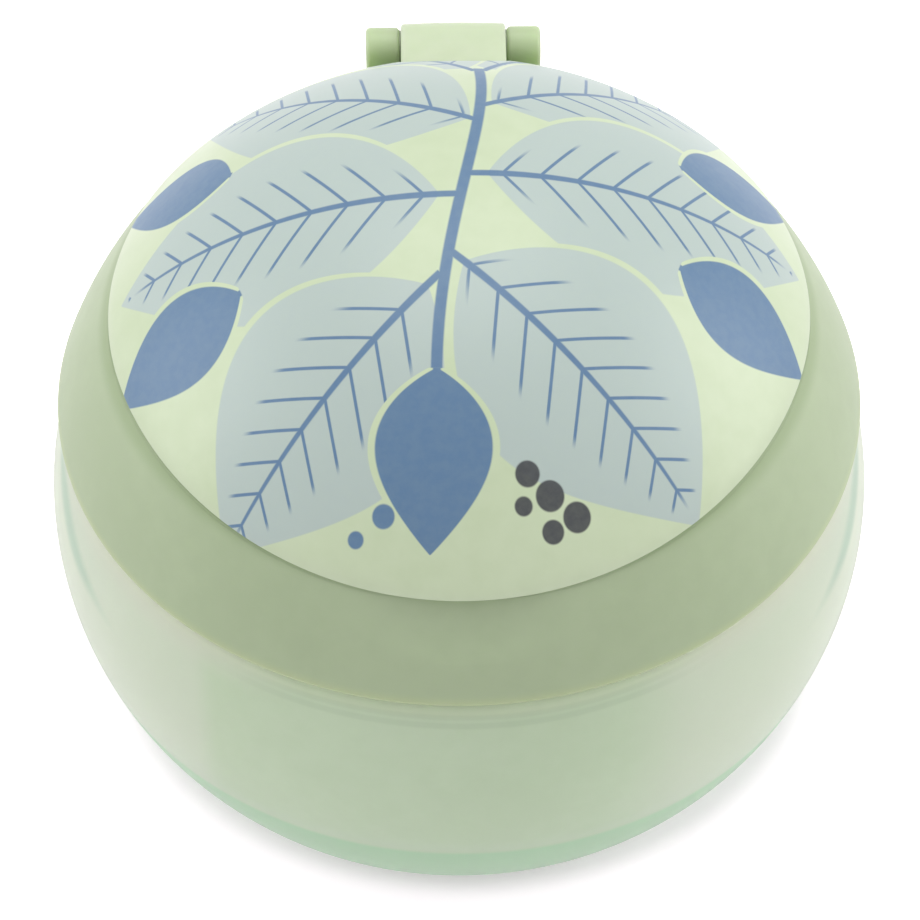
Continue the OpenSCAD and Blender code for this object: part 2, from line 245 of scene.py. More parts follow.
def printed_leaf_group():
    """One printed leaf: a pointed oval with a midrib, side veins, a clear rim round it and a stalk."""
    tree, b, ins, outs = new_group(
        "printed_leaf",
        [("Chart", "Vector", (0, 0, 0)), ("Middle", "Vector", (0, 0, 0)), ("Turn", "Float", 0.0),
         ("Length", "Float", 30.0), ("Width", "Float", 16.0), ("Veins", "Float", 1.0),
         ("Stalk", "Float", 0.0)],
        [("Leaf", "Float"), ("Vein", "Float"), ("Halo", "Float")])
    place = b.add("ShaderNodeVectorRotate", rotation_type="Z_AXIS", invert=True)
    b.feed(place.inputs["Vector"], b.vector("SUBTRACT", ins["Chart"], ins["Middle"]))
    b.feed(place.inputs["Angle"], ins["Turn"])
    u, v, _ = b.split(place.outputs[0])
    t = b.maths("DIVIDE", b.maths("MULTIPLY", u, 2.0), ins["Length"])
    off = b.maths("ABSOLUTE", v)
    swell = b.maths("MAXIMUM", b.maths("SUBTRACT", 1.0, b.maths("MULTIPLY", t, t)), 0.0)
    swell = b.maths("POWER", swell, 0.95)
    lean = b.maths("SUBTRACT", 1.0, b.maths("MULTIPLY", t, 0.28))
    half = b.maths("MULTIPLY", b.maths("MULTIPLY", swell, lean), b.maths("MULTIPLY", ins["Width"], 0.5))
    edge = b.maths("SUBTRACT", half, off)
    within = b.ramp(b.maths("ABSOLUTE", t), 1.0, 0.992)
    leaf = b.maths("MULTIPLY", b.ramp(edge, -0.12, 0.18), within)
    halo = b.maths("MULTIPLY", b.ramp(edge, -1.0, -0.8), within)
    rib_half = b.maths("MULTIPLY_ADD", t, -0.16, 0.36)
    rib = b.ramp(b.maths("SUBTRACT", rib_half, off), -0.12, 0.14)
    rib = b.maths("MULTIPLY", rib, b.ramp(t, 0.9, 0.76))
    # the stalk runs on past the leaf's foot
    past = b.maths("MULTIPLY", b.maths("SUBTRACT", b.maths("MULTIPLY", t, -1.0), 1.0), ins["Length"])
    left = b.maths("SUBTRACT", b.maths("MULTIPLY", ins["Stalk"], 2.0), past)
    stalk = b.maths("MULTIPLY", b.ramp(left, -0.2, 0.2), b.ramp(past, -1.5, -1.2))
    stalk = b.maths("MULTIPLY", b.ramp(b.maths("SUBTRACT", STALK_HALF, off), -0.12, 0.14), stalk)
    beat = b.maths("SUBTRACT", u, b.maths("MULTIPLY", off, VEIN_LEAN))
    beat = b.maths("FRACT", b.maths("DIVIDE", beat, VEIN_PITCH))
    vein = b.ramp(b.maths("ABSOLUTE", b.maths("SUBTRACT", beat, 0.5)), 0.075, 0.035)
    vein = b.maths("MULTIPLY", vein, b.ramp(b.maths("SUBTRACT", edge, off), -2.2, 1.2))
    vein = b.maths("MULTIPLY", vein, b.ramp(edge, 0.9, 1.8))
    both = b.maths("MULTIPLY", b.maths("MAXIMUM", rib, vein), ins["Veins"])
    b.feed(outs["Leaf"], leaf)
    b.feed(outs["Vein"], b.maths("MAXIMUM", b.maths("MULTIPLY", both, leaf), stalk))
    b.feed(outs["Halo"], halo)
    return tree


def printed_dot_group():
    """One round printed dot."""
    tree, b, ins, outs = new_group(
        "printed_dot", [("Chart", "Vector", (0, 0, 0)), ("Middle", "Vector", (0, 0, 0)),
                        ("Radius", "Float", 1.5)], [("Dot", "Float")])
    d = b.vector("LENGTH", b.vector("SUBTRACT", ins["Chart"], ins["Middle"]))
    b.feed(outs["Dot"], b.ramp(b.maths("SUBTRACT", ins["Radius"], d), -0.12, 0.18))
    return tree


GRAIN_DEPTH, PLASTIC_IOR = 0.1, 1.49
SKIN = moulded_skin_group()
CHART = dome_chart_group()
LEAF = printed_leaf_group()
DOT = printed_dot_group()


def start_material(name):
    """A material, its board, its shader and the piece's own coordinates in millimetres."""
    m = bpy.data.materials.new(name)
    m.use_nodes = True
    b = Board(m.node_tree)
    shader = m.node_tree.nodes["Principled BSDF"]
    mapping = b.add("ShaderNodeMapping")
    mapping.inputs["Scale"].default_value = (1 / MM, 1 / MM, 1 / MM)
    b.feed(mapping.inputs["Vector"], b.add("ShaderNodeTexCoord").outputs["Object"])
    return m, b, shader, mapping.outputs[0]


def bump(b, shader, height, strength):
    n = b.add("ShaderNodeBump")
    n.inputs["Strength"].default_value = strength
    n.inputs["Distance"].default_value = GRAIN_DEPTH * MM
    b.feed(n.inputs["Height"], height)
    b.feed(shader.inputs["Normal"], n.outputs[0])


def plastic(name, colour, deeper, roughness=0.4, grain=3.0, strength=0.15, drift=0.06,
            soft=0.0, soft_reach=(0.004, 0.004, 0.003)):
    """A moulded plastic; soft is how far light goes into it, from 0 to 1."""
    m, b, shader, where = start_material(name)
    skin = b.group(SKIN, Where=where, Colour=colour, Deeper=deeper, Grain_size=grain,
                   Roughness=roughness, Roughness_drift=drift)
    b.feed(shader.inputs["Base Color"], skin.outputs["Colour"])
    b.feed(shader.inputs["Roughness"], skin.outputs["Roughness"])
    bump(b, shader, skin.outputs["Height"], strength)
    shader.inputs["Subsurface Weight"].default_value = soft
    shader.inputs["Subsurface Radius"].default_value = soft_reach
    shader.inputs["Subsurface Scale"].default_value = 1.0
    shader.inputs["IOR"].default_value = PLASTIC_IOR
    m.diffuse_color = colour
    return m, b, shader, where, skin


# ---- Finishes ----
LID_GREEN, LID_DEEPER = srgb(212, 226, 192), srgb(206, 221, 185)
PRINT_GREY, PRINT_DENIM, PRINT_CHARCOAL = srgb(189, 204, 199), srgb(96, 130, 165), srgb(70, 73, 76)

# foot x, foot y, turn in degrees, length, width, stalk, whether it is denim; the last lies on top
LEAVES = [
    (4.2, 28.5, 62, 22, 17.0, 1.2, False), (1.5, 28.5, 128, 21, 16.0, 1.6, False),
    (4.4, 16.0, 30, 43, 28.0, 2.0, False), (1.6, 12.0, 152, 43, 28.0, 1.0, False),
    (3.4, 1.0, 1, 45, 29.0, 2.5, False), (-2.4, -2.5, 180, 45, 29.0, 2.5, False),
    (0.4, -12.5, -42, 43, 29.5, 2.0, False), (-4.0, -15.5, 224, 41, 28.5, 2.2, False),
    (-3.1, -26.0, 266, 22, 14.5, 0.0, True),
    (27.5, -8.5, -19, 22, 13.5, 0.0, True), (-27.5, -11.5, 200, 22, 13.5, 0.0, True),
    (29.0, 10.5, 18, 21, 12.5, 0.0, True), (-29.5, 10.5, 161, 20, 12.5, 0.0, True),
]
# middle x, middle y, radius
BERRIES = [(8.0, -38.4, 1.6), (11.0, -40.8, 1.9), (14.7, -43.0, 1.9), (11.6, -45.0, 1.5),
           (7.6, -42.2, 1.2), (-13.2, 44.0, 1.9), (-16.8, 42.6, 1.6), (-9.8, 45.8, 1.6)]
DOTS = [(-10.5, -43.0, 1.5), (-14.4, -45.4, 1.1), (17.5, 43.5, 1.4), (21.0, 42.0, 1.1)]


def printed_lid():
    """Pale green lid with leaves, berries and dots printed on the dome's outside."""
    m, b, shader, where, skin = plastic("lid_satin_printed", LID_GREEN, LID_DEEPER, roughness=0.3,
                                        grain=1.4, strength=0.06, soft=0.2,
                                        soft_reach=(0.003, 0.0032, 0.0028))
    chart = b.group(CHART, Where=where)
    flat = chart.outputs["Chart"]
    outside = b.ramp(chart.outputs["From centre"], DOME_R - 0.9, DOME_R - 0.7)
    # the stem that the leaves grow from, a shallow S from the front to the back
    x, y, _ = b.split(flat)
    sway = b.maths("MULTIPLY", b.maths("SINE", b.maths("MULTIPLY_ADD", y, 0.06, 0.2)), 3.2)
    off = b.maths("ABSOLUTE", b.maths("SUBTRACT", x, sway))
    stem = b.ramp(b.maths("SUBTRACT", STEM_HALF, off), -0.15, 0.15)
    stem = b.maths("MULTIPLY", stem, b.ramp(b.maths("ABSOLUTE", b.maths("ADD", y, -1.0)), 27.7, 27.3))
    grey, denim, dark = 0.0, 0.0, 0.0
    for x, y, turn, length, width, stalk, is_denim in LEAVES:
        if is_denim and stem is not None:   # the stem lies over the grey leaves, under the denim ones
            denim, stem = b.maths("MAXIMUM", denim, stem), None
        lean = radians(turn)
        middle = (x + length / 2 * cos(lean), y + length / 2 * sin(lean), 0)
        one = b.group(LEAF, Chart=flat, Middle=middle, Turn=lean, Length=float(length),
                      Width=float(width), Veins=0.0 if is_denim else 1.0, Stalk=stalk)
        clear = b.maths("SUBTRACT", 1.0, one.outputs["Halo"])
        grey, denim = b.maths("MULTIPLY", grey, clear), b.maths("MULTIPLY", denim, clear)
        denim = b.maths("MAXIMUM", denim, one.outputs["Vein"])
        if is_denim:
            denim = b.maths("MAXIMUM", denim, one.outputs["Leaf"])
        else:
            grey = b.maths("MAXIMUM", grey, one.outputs["Leaf"])
    for x, y, r in DOTS:
        dot = b.group(DOT, Chart=flat, Middle=(x, y, 0), Radius=r)
        denim = b.maths("MAXIMUM", denim, dot.outputs["Dot"])
    for x, y, r in BERRIES:
        berry = b.group(DOT, Chart=flat, Middle=(x, y, 0), Radius=r)
        dark = b.maths("MAXIMUM", dark, berry.outputs["Dot"])
    ink_wear = b.ramp(b.noise(where, 0.8, 4.0, 0.6), 0.3, 0.7, 0.96, 1.0)
    cover = b.maths("MULTIPLY", outside, ink_wear)
    colour = b.blend(b.maths("MULTIPLY", grey, cover), skin.outputs["Colour"], PRINT_GREY)
    colour = b.blend(b.maths("MULTIPLY", denim, cover), colour, PRINT_DENIM)
    colour = b.blend(b.maths("MULTIPLY", dark, cover), colour, PRINT_CHARCOAL)
    b.feed(shader.inputs["Base Color"], colour)
    ink = b.maths("MULTIPLY", b.maths("MAXIMUM", b.maths("MAXIMUM", grey, denim), dark), outside)
    b.feed(shader.inputs["Roughness"], b.maths("MULTIPLY_ADD", ink, 0.08, skin.outputs["Roughness"]))
    return m


def frosted_bowl():
    """Tinted, frosted plastic, deeper over the thick floor, with painted light: lighter to both sides and
    at the shoulder, and a painted highlight and painted reflections under the collar and below each
    shoulder.
    """
    m, b, shader, where, skin = plastic("bowl_frosted", srgb(239, 253, 227), srgb(234, 249, 221),
                                        roughness=0.36, grain=2.2, strength=0.1, drift=0.05)
    x, y, z = b.split(where)
    aside = b.ramp(b.maths("ABSOLUTE", x), 18.0, 34.0)
    wander = b.maths("MULTIPLY", b.maths("SUBTRACT", b.noise(where, 0.03, 1.0), 0.5), 0.5)
    level = b.maths("ADD", z, wander)
    base = b.ramp(level, 22.4, 21.0)
    colour = b.blend(base, skin.outputs["Colour"], srgb(211, 245, 210))
    rim = b.maths("MULTIPLY", b.ramp(level, 21.6, 22.6), b.ramp(level, 25.5, 23.0))
    colour = b.blend(b.maths("MULTIPLY", rim, 0.2), colour, srgb(243, 250, 236))
    # painted light: lighter towards both sides, where light comes through the wall
    side = b.maths("MAXIMUM", b.ramp(x, -30.0, -33.5), b.ramp(x, 18.0, 29.0))
    side = b.maths("MULTIPLY", side, b.ramp(y, 34.0, 12.0))
    side = b.maths("MULTIPLY", side, b.ramp(level, 20.5, 22.6))
    colour = b.blend(b.maths("MULTIPLY", side, 0.7), colour, srgb(249, 255, 238))
    # painted highlight: lighter along the shoulder, just under the collar
    colour = b.blend(b.ramp(level, 48.0, 49.2), colour, srgb(243, 254, 226))
    # two fine painted reflection lines under the collar, lost towards both sides in a painted highlight
    middle = b.maths("SUBTRACT", 1.0, b.maths("MULTIPLY", aside, 0.9))
    for low, high, strength in ((47.3, 47.7, 0.16), (48.5, 48.8, 0.14)):
        painted_reflection_line = b.maths("MULTIPLY", b.ramp(level, low - 0.4, low), b.ramp(level, high + 0.4, high))
        painted_reflection_line = b.maths("MULTIPLY", b.maths("MULTIPLY", painted_reflection_line, strength), middle)
        colour = b.blend(painted_reflection_line, colour, srgb(180, 200, 172))
    # painted highlight: paler under the collar towards both sides
    painted_highlight = b.maths("MULTIPLY", b.ramp(level, 45.0, 49.0), b.maths("MULTIPLY", aside, 0.75))
    colour = b.blend(painted_highlight, colour, srgb(253, 255, 238))
    # painted reflection: a soft greener streak below each shoulder
    off = b.maths("SUBTRACT", y, b.maths("MULTIPLY_ADD", level, 2.2, -112.0))
    painted_reflection_streak = b.maths("MULTIPLY", b.ramp(b.maths("ABSOLUTE", off), 6.5, 0.8), b.ramp(level, 38.5, 42.0))
    painted_reflection_streak = b.maths("MULTIPLY", painted_reflection_streak, b.ramp(level, 50.0, 46.0))
    colour = b.blend(b.maths("MULTIPLY", painted_reflection_streak, 0.6), colour, srgb(172, 212, 188))
    b.feed(shader.inputs["Base Color"], colour)
    shader.inputs["Transmission Weight"].default_value = 0.42
    shader.inputs["IOR"].default_value = 1.42
    shader.inputs["Specular IOR Level"].default_value = 0.34
    shader.inputs["Coat Weight"].default_value = 0.1
    shader.inputs["Coat Roughness"].default_value = 0.14
    return m


def sage_collar_plastic():
    """Sage green, with painted light and shade: a warmer, lighter tint along the thin lower edge, where
    light comes through it, and painted shade beside the lid.
    """
    m, b, shader, where, skin = plastic("collar_sage", srgb(180, 196, 160), srgb(175, 191, 155),
                                        roughness=0.42, grain=2.6, strength=0.12, soft=0.25,
                                        soft_reach=(0.002, 0.0025, 0.0015))
    x, y, z = b.split(where)
    # painted light: the thin lower edge tinted warmer and lighter, for light coming through it
    edge = b.maths("MULTIPLY", b.ramp(z, 53.2, 51.5), 0.45)
    colour = b.blend(edge, skin.outputs["Colour"], srgb(202, 212, 158))
    # painted shade: darker in the groove beside the lid
    from_axis = b.vector("LENGTH", b.join(x, y))
    painted_groove_shade = b.maths("MULTIPLY", b.ramp(from_axis, 42.9, 43.1), b.ramp(from_axis, 45.4, 44.1))
    colour = b.blend(b.maths("MULTIPLY", painted_groove_shade, 0.5), colour, srgb(142, 164, 112))
    b.feed(shader.inputs["Base Color"], colour)
    return m


MATERIALS = {
    "lid": printed_lid(),
    "bowl": frosted_bowl(),
    "collar": sage_collar_plastic(),
    # the lugs wear the collar's sage painted lighter, for the light that comes through the thin plastic
    "lug": plastic("collar_sage_painted_lighter", srgb(190, 208, 166), srgb(186, 204, 162), roughness=0.4,
                   grain=2.6, strength=0.08, soft=0.6, soft_reach=(0.004, 0.005, 0.003))[0],
    "flap": plastic("flap_rubber_green", srgb(190, 205, 176), srgb(182, 198, 168), roughness=0.62,
                    grain=4.0, strength=0.2, soft=0.3)[0],
    "seal": plastic("seal_silicone_white", srgb(232, 234, 226), srgb(224, 227, 218), roughness=0.5,
                    grain=3.0, strength=0.15, soft=0.4)[0],
    "knuckle": plastic("knuckle_green", LID_GREEN, LID_DEEPER, roughness=0.32, grain=1.4, strength=0.06,
                       soft=0.35, soft_reach=(0.004, 0.005, 0.003))[0],
    "pin": plastic("pin_sage", srgb(170, 184, 151), srgb(162, 176, 143), roughness=0.35,
                   grain=1.6, strength=0.06)[0],
    "retainer": plastic("retainer_white", srgb(234, 236, 229), srgb(228, 231, 222), roughness=0.4,
                        grain=2.4, strength=0.1, soft=0.2)[0],
}


def wear(obj, material):
    """Gives a piece one material all over."""
    obj.data.materials.clear()
    obj.data.materials.append(material)
    for p in obj.data.polygons:
        p.material_index = 0


# ---- Taking, naming and cutting pieces ----
def nothing_selected():
    if bpy.context.object and bpy.context.object.mode != "OBJECT":
        bpy.ops.object.mode_set(mode="OBJECT")
    bpy.ops.object.select_all(action="DESELECT")


def take(obj):
    """Makes a piece the only one selected, and active."""
    nothing_selected()
    obj.select_set(True)
    bpy.context.view_layer.objects.active = obj


def settle(obj):
    """Puts the piece's place, turn and scale into its mesh."""
    take(obj)
    bpy.ops.object.transform_apply(location=True, rotation=True, scale=True)


def new_piece(name):
    """The piece that was added last, under its name."""
    piece = bpy.context.object
    piece.name = piece.data.name = name
    return piece


def copy_piece(obj, name):
    """A copy with its own mesh."""
    take(obj)
    bpy.ops.object.duplicate()
    return new_piece(name)


def slice_across(direction, places):
    """Cuts the piece in edit mode across a direction, at places in millimetres along it."""
    for place in places:
        bpy.ops.mesh.select_all(action="SELECT")
        bpy.ops.mesh.bisect(plane_co=Vector(direction) * place * MM, plane_no=direction)


def turn_faces_out():
    """Turns all faces of the piece in edit mode outwards, and leaves edit mode."""
    bpy.ops.mesh.select_all(action="SELECT")
    bpy.ops.mesh.normals_make_consistent(inside=False)
    bpy.ops.object.mode_set(mode="OBJECT")


def pick(obj, kind, test):
    """Selects the vertices, edges or faces for which test is true."""
    bpy.ops.mesh.select_all(action="DESELECT")
    bpy.ops.mesh.select_mode(type=kind)
    bpy.ops.object.mode_set(mode="OBJECT")
    items = {"VERT": obj.data.vertices, "EDGE": obj.data.edges, "FACE": obj.data.polygons}[kind]
    for item in items:
        item.select = bool(test(item))
    bpy.ops.object.mode_set(mode="EDIT")


# ---- Turned and drawn pieces ----
def turned_copies(first, names, step):
    """Copies of a piece, each turned on by one step round the container's axis."""
    made = [first]
    for i, name in enumerate(names, 1):
        twin = copy_piece(first, name)
        twin.rotation_euler = (0, 0, radians(step * i))
        settle(twin)
        made.append(twin)
    return made


def rounded(corners, segments=5):
    """An outline through corners (distance, height, rounding), each rounded corner as a short arc."""
    out = []
    count = len(corners)
    for i, (x, z, f) in enumerate(corners):
        if f <= 0:
            out.append((x, z))
            continue
        here = Vector((x, z))
        a = (Vector(corners[i - 1][:2]) - here).normalized()
        b = (Vector(corners[(i + 1) % count][:2]) - here).normalized()
        half = a.angle(b) / 2
        middle = here + (a + b).normalized() * (f / sin(half))
        start, end = here + a * (f / tan(half)), here + b * (f / tan(half))
        for k in range(segments + 1):
            t = k / segments
            towards = ((start - middle) * (1 - t) + (end - middle) * t).normalized()
            out.append(tuple(middle + towards * f))
    return out


def arc_points(centre, r, z_from, z_to, count):
    """Unrounded corners along an arc, from one height to another."""
    heights = [z_from + (z_to - z_from) * k / count for k in range(count + 1)]
    return [(arc_at(centre, r, z), z, 0) for z in heights]


def eased_corner(middle, f, first, last, count):
    """Unrounded corners on a small arc of radius f, from one direction to another."""
    pts = []
    for k in range(count + 1):
        towards = (first * (1 - k / count) + last * (k / count)).normalized()
        pts.append((middle[0] + towards.x * f, middle[1] + towards.y * f, 0))
    return pts


def turned_piece(name, outline, closed, steps=192):
    """Spins an outline of (distance, height) points round the container's axis."""
    nothing_selected()
    bpy.ops.mesh.primitive_circle_add(vertices=len(outline), radius=MM)
    piece = new_piece(name)
    for v, (x, z) in zip(piece.data.vertices, outline):
        v.co = (x * MM, 0, z * MM)
    bpy.ops.object.mode_set(mode="EDIT")
    if not closed:
        last = len(outline) - 1
        pick(piece, "EDGE", lambda e: set(e.vertices) == {0, last})
        bpy.ops.mesh.delete(type="EDGE")
    bpy.ops.mesh.select_all(action="SELECT")
    bpy.ops.mesh.spin(steps=steps, angle=2 * pi, center=(0, 0, 0), axis=(0, 0, 1))
    bpy.ops.mesh.select_all(action="SELECT")
    bpy.ops.mesh.remove_doubles(threshold=0.002 * MM)
    turn_faces_out()
    bpy.ops.object.shade_smooth_by_angle(angle=radians(SMOOTH_UNDER))
    return piece


def drawn_piece(name, outline, length, x=0.0):
    """A slab of the given length along X, with its outline drawn in Y and Z."""
    nothing_selected()
    bpy.ops.mesh.primitive_circle_add(vertices=len(outline), radius=MM, fill_type="NGON")
    piece = new_piece(name)
    for v, (y, z) in zip(piece.data.vertices, outline):
        v.co = ((x - length / 2) * MM, y * MM, z * MM)
    bpy.ops.object.mode_set(mode="EDIT")
    bpy.ops.mesh.select_all(action="SELECT")
    bpy.ops.mesh.extrude_region_move(TRANSFORM_OT_translate={"value": (length * MM, 0, 0)})
    turn_faces_out()
    return piece


def ease_edges(piece, width, segments, angle):
    """Rounds every edge that is sharper than angle, in degrees."""
    take(piece)
    easing = piece.modifiers.new("easing", "BEVEL")
    easing.width = width * MM
    easing.segments = segments
    easing.limit_method = "ANGLE"
    easing.angle_limit = radians(angle)
    bpy.ops.object.modifier_apply(modifier="easing")


def put_on(piece, material, body):
    wear(piece, material)
    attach(piece, body)


def finish_piece(piece, material, body, slot, *nodes):
    take(piece)
    bpy.ops.object.shade_smooth_by_angle(angle=radians(SMOOTH_UNDER))
    put_on(piece, material, body)
    if nodes:
        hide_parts(*nodes)


def cut_through(piece, tool):
    """Takes the tool's shape out of the piece, and removes the tool."""
    take(piece)
    cutting = piece.modifiers.new("cutting", "BOOLEAN")
    cutting.operation = "DIFFERENCE"
    cutting.solver = "EXACT"
    cutting.object = tool
    bpy.ops.object.modifier_apply(modifier="cutting")
    bpy.data.objects.remove(tool, do_unlink=True)


# ---- Bowl ----
def bowl_outline():
    """From the middle of the floor, up the inside, over the neck, down the outside and back."""
    inside_r, neck_in_r = BELLY_R - BOWL_WALL, NECK_R - BOWL_WALL
    shelf = NECK_FOOT - BOWL_WALL
    mid_neck = 56
    foot_f, shoulder_f, floor_f, mouth_f = 1.2, 2.5, 6.0, 1.0

    def corner_arc(r, f, z, upwards, flat_first):
        """The rounding, of radius f, between the wall's arc and something level."""
        middle = (arc_at(BELLY_CENTRE, r - f, z), z)
        out = Vector((middle[0] - BELLY_CENTRE[0], middle[1] - BELLY_CENTRE[1])).normalized()
        arc = eased_corner(middle, f, Vector((0, upwards)), out, 8)
        return arc if flat_first else arc[::-1]

    low = corner_arc(inside_r, floor_f, BOWL_FLOOR + floor_f, -1, True)
    high = corner_arc(inside_r, mouth_f, shelf - mouth_f, 1, False)
    top = corner_arc(BELLY_R, shoulder_f, NECK_FOOT - shoulder_f, 1, True)
    foot = corner_arc(BELLY_R, foot_f, foot_f, -1, False)
    ring_in = foot[-1][0] - FOOT_RING_W
    pts = [(0, BOWL_FLOOR, 0), (20, BOWL_FLOOR, 0), (34, BOWL_FLOOR, 0)]
    pts += low
    pts += arc_points(BELLY_CENTRE, inside_r, low[-1][1], high[0][1], 36)[1:-1]
    pts += high
    pts += [(neck_in_r, shelf, 0.5), (neck_in_r, mid_neck, 0), (neck_in_r, NECK_TOP, 0.5),
            (NECK_R, NECK_TOP, 0.5), (NECK_R, mid_neck, 0), (NECK_R, NECK_FOOT, 0.35)]
    pts += top
    pts += arc_points(BELLY_CENTRE, BELLY_R, top[-1][1], foot[0][1], 48)[1:-1]
    pts += foot
    pts += [(ring_in, 0, 0.5), (ring_in - 0.1, FOOT_RECESS, 0.5), (ring_in * 0.5, FOOT_RECESS, 0),
            (0, FOOT_RECESS, 0)]
    return rounded(pts)


bowl_piece = turned_piece("frosted_bowl", bowl_outline(), closed=False)
finish_piece(bowl_piece, MATERIALS["bowl"], "bowl", "bowl_plastic", "bowl")


# ---- Collar ----
def collar_outline():
    """Once round the section: up the outer skin, over the rim wall, deck, raised rim and both skirts."""
    rim_z = PARTING_Z - LID_GAP / 2
    inner = SKIN_R - SKIN_WALL
    foot_f = 0.6
    foot = (arc_at(SKIN_CENTRE, SKIN_R - foot_f, SKIN_FOOT_Z + foot_f), SKIN_FOOT_Z + foot_f)
    out = Vector((foot[0] - SKIN_CENTRE[0], foot[1] - SKIN_CENTRE[1])).normalized()
    pts = eased_corner(foot, foot_f, Vector((0, -1)), out, 6)
    pts += arc_points(SKIN_CENTRE, SKIN_R, pts[-1][1], rim_z, 40)[1:-1]
    pts += [(arc_at(SKIN_CENTRE, SKIN_R, rim_z), rim_z, 1.0),
            (arc_at(SKIN_CENTRE, inner, rim_z), rim_z, 0.28)]
    pts += arc_points(SKIN_CENTRE, inner, rim_z - 0.5, DECK_TOP + 0.35, 8)
    skirt_foot, bead_foot = SKIN_FOOT_Z + 1, BEAD_TOP - BEAD_H
    pts += [(arc_at(SKIN_CENTRE, inner, DECK_TOP), DECK_TOP, 0.3), (COAMING_R, DECK_TOP, 0.3),
            (COAMING_R, COAMING_TOP, 0.4), (OPENING_R, COAMING_TOP, 0.4), (OPENING_R, DECK_Z, 0.3),
            (HOLDER_IN_R, DECK_Z, 0.1), (HOLDER_IN_R, BEAD_TOP, 0), (BEAD_IN_R, BEAD_TOP - 0.15, 0.1),
            (BEAD_IN_R, bead_foot, 0.1), (HOLDER_IN_R, bead_foot - 0.2, 0),
            (HOLDER_IN_R, HOLDER_Z, 0.3), (HOLDER_R, HOLDER_Z, 0.3), (HOLDER_R, DECK_Z, 0.3),
            (BORE_R, DECK_Z, 0.3), (BORE_R, skirt_foot, 0.4), (SKIRT_R, skirt_foot, 0.3)]
    # the gap between skirt and skin closes to nothing under the deck
    skin_in = [p for p in arc_points(SKIN_CENTRE, inner, DECK_Z, SKIN_FOOT_Z + 0.5, 16)
               if p[0] > SKIRT_R + 0.02]
    pts.append((SKIRT_R, skin_in[0][1] + 0.02, 0))
    pts += skin_in
    pts.append((arc_at(SKIN_CENTRE, inner, SKIN_FOOT_Z), SKIN_FOOT_Z, 0.25))
    return rounded(pts)


def lower_the_front(piece):
    """Lowers the rim wall to the dipping surface on which the lid's thumb lip lands."""
    outer_from, wall_from, full = 58.0, DECK_TOP + 0.3, 65.9
    middle = SKIN_R - SKIN_WALL / 2
    for v in piece.data.vertices:
        x, y, z = v.co / MM
        r = sqrt(x * x + y * y)
        if r < COAMING_R + 1.5 or z <= outer_from:
            continue
        on_outside = r > arc_at(SKIN_CENTRE, middle, z)
        start = outer_from if on_outside else wall_from
        if z <= start:
            continue
        share = min((z - start) / (full - start), 1.0)
        new_z = z + (parting_height(y) - PARTING_Z) * share
        new_r = r + arc_at(SKIN_CENTRE, middle, new_z) - arc_at(SKIN_CENTRE, middle, z)
        v.co = (x * new_r / r * MM, y * new_r / r * MM, new_z * MM)


def press_scoop(piece):
    """A shallow thumb scoop in the skin under the lid's front lip."""
    mid_z, half_w, half_h, depth = PARTING_Z - DIP_DEPTH - 2.5, 12.5, 5.2, 0.95
    for v in piece.data.vertices:
        x, y, z = v.co / MM
        r = sqrt(x * x + y * y)
        if y > 0 or r < arc_at(SKIN_CENTRE, SKIN_R - 0.7, z):
            continue
        off = (x / half_w) ** 2 + ((z - mid_z) / half_h) ** 2
        if off < 1:
            push = depth * (1 - off) ** 1.5
            slope = Vector((x / r * 0.85, y / r * 0.85, 0.5)).normalized()
            v.co -= slope * push * MM


def stiffening_rib(name):
    """A low wall from the skirt to the skin, whose outer end follows the skin."""
    low, high = SKIN_FOOT_Z + 1.2, DECK_Z
    nothing_selected()
    bpy.ops.mesh.primitive_cube_add(size=1, location=(SKIRT_R * MM, 0, (low + high) / 2 * MM),
                                    scale=(2 * MM, RIB_T * MM, (high - low) * MM))
    rib = new_piece(name)
    settle(rib)
    bpy.ops.object.mode_set(mode="EDIT")
    slice_across((0, 0, 1), [low + (high - low) * k / 5 for k in range(1, 5)])
    bpy.ops.object.mode_set(mode="OBJECT")
    for v in rib.data.vertices:
        skin_r = arc_at(SKIN_CENTRE, SKIN_R - SKIN_WALL / 2, v.co.z / MM)
        v.co.x = (SKIRT_R - 0.8 if v.co.x < SKIRT_R * MM else skin_r) * MM
    return rib


collar_piece = turned_piece("sage_collar", collar_outline(), closed=True, steps=256)
lower_the_front(collar_piece)
press_scoop(collar_piece)
finish_piece(collar_piece, MATERIALS["collar"], "collar", "collar_plastic", "collar")


# ---- Hinge: two lugs on the collar, strap and knuckle on the lid, pin ----
def lug(name, x):
    """A rounded ear that stands on the collar's skin."""
    foot_z = SKIN_FOOT_Z + LUG_FOOT * (PARTING_Z - SKIN_FOOT_Z)
    outline = [(HINGE_Y + LUG_R, HINGE_Z - LUG_R)]
    for k in range(21):
        a = radians(180 * k / 20)
        outline.append((HINGE_Y + LUG_R * cos(a), HINGE_Z + LUG_R * sin(a)))
    for z in (64.8, 63.5, 62.0, 60.5, 59.0, foot_z):
        y = arc_at(SKIN_CENTRE, SKIN_R - SKIN_WALL / 2, z)
        outline.append((max(y, HINGE_Y - LUG_R) if z > 63 else y, z))
    piece = drawn_piece(name, outline, LUG_L, x)
    ease_edges(piece, 0.55, 4, 50)
    return piece


def round_the_back(piece, cuts):
    """Slices a hinge piece along X and draws its back in to a circle round the container's axis."""
    take(piece)
    bpy.ops.object.mode_set(mode="EDIT")
    slice_across((1, 0, 0), cuts)
    bpy.ops.object.mode_set(mode="OBJECT")
    reach = HINGE_Y + KNUCKLE_R
    for v in piece.data.vertices:
        limit = (sqrt(reach ** 2 - (v.co.x / MM) ** 2) - HINGE_Y) * MM
        back = v.co.y - HINGE_Y * MM
        if back > 0:
            v.co.y = HINGE_Y * MM + back * min(limit / (KNUCKLE_R * MM), 1.0)


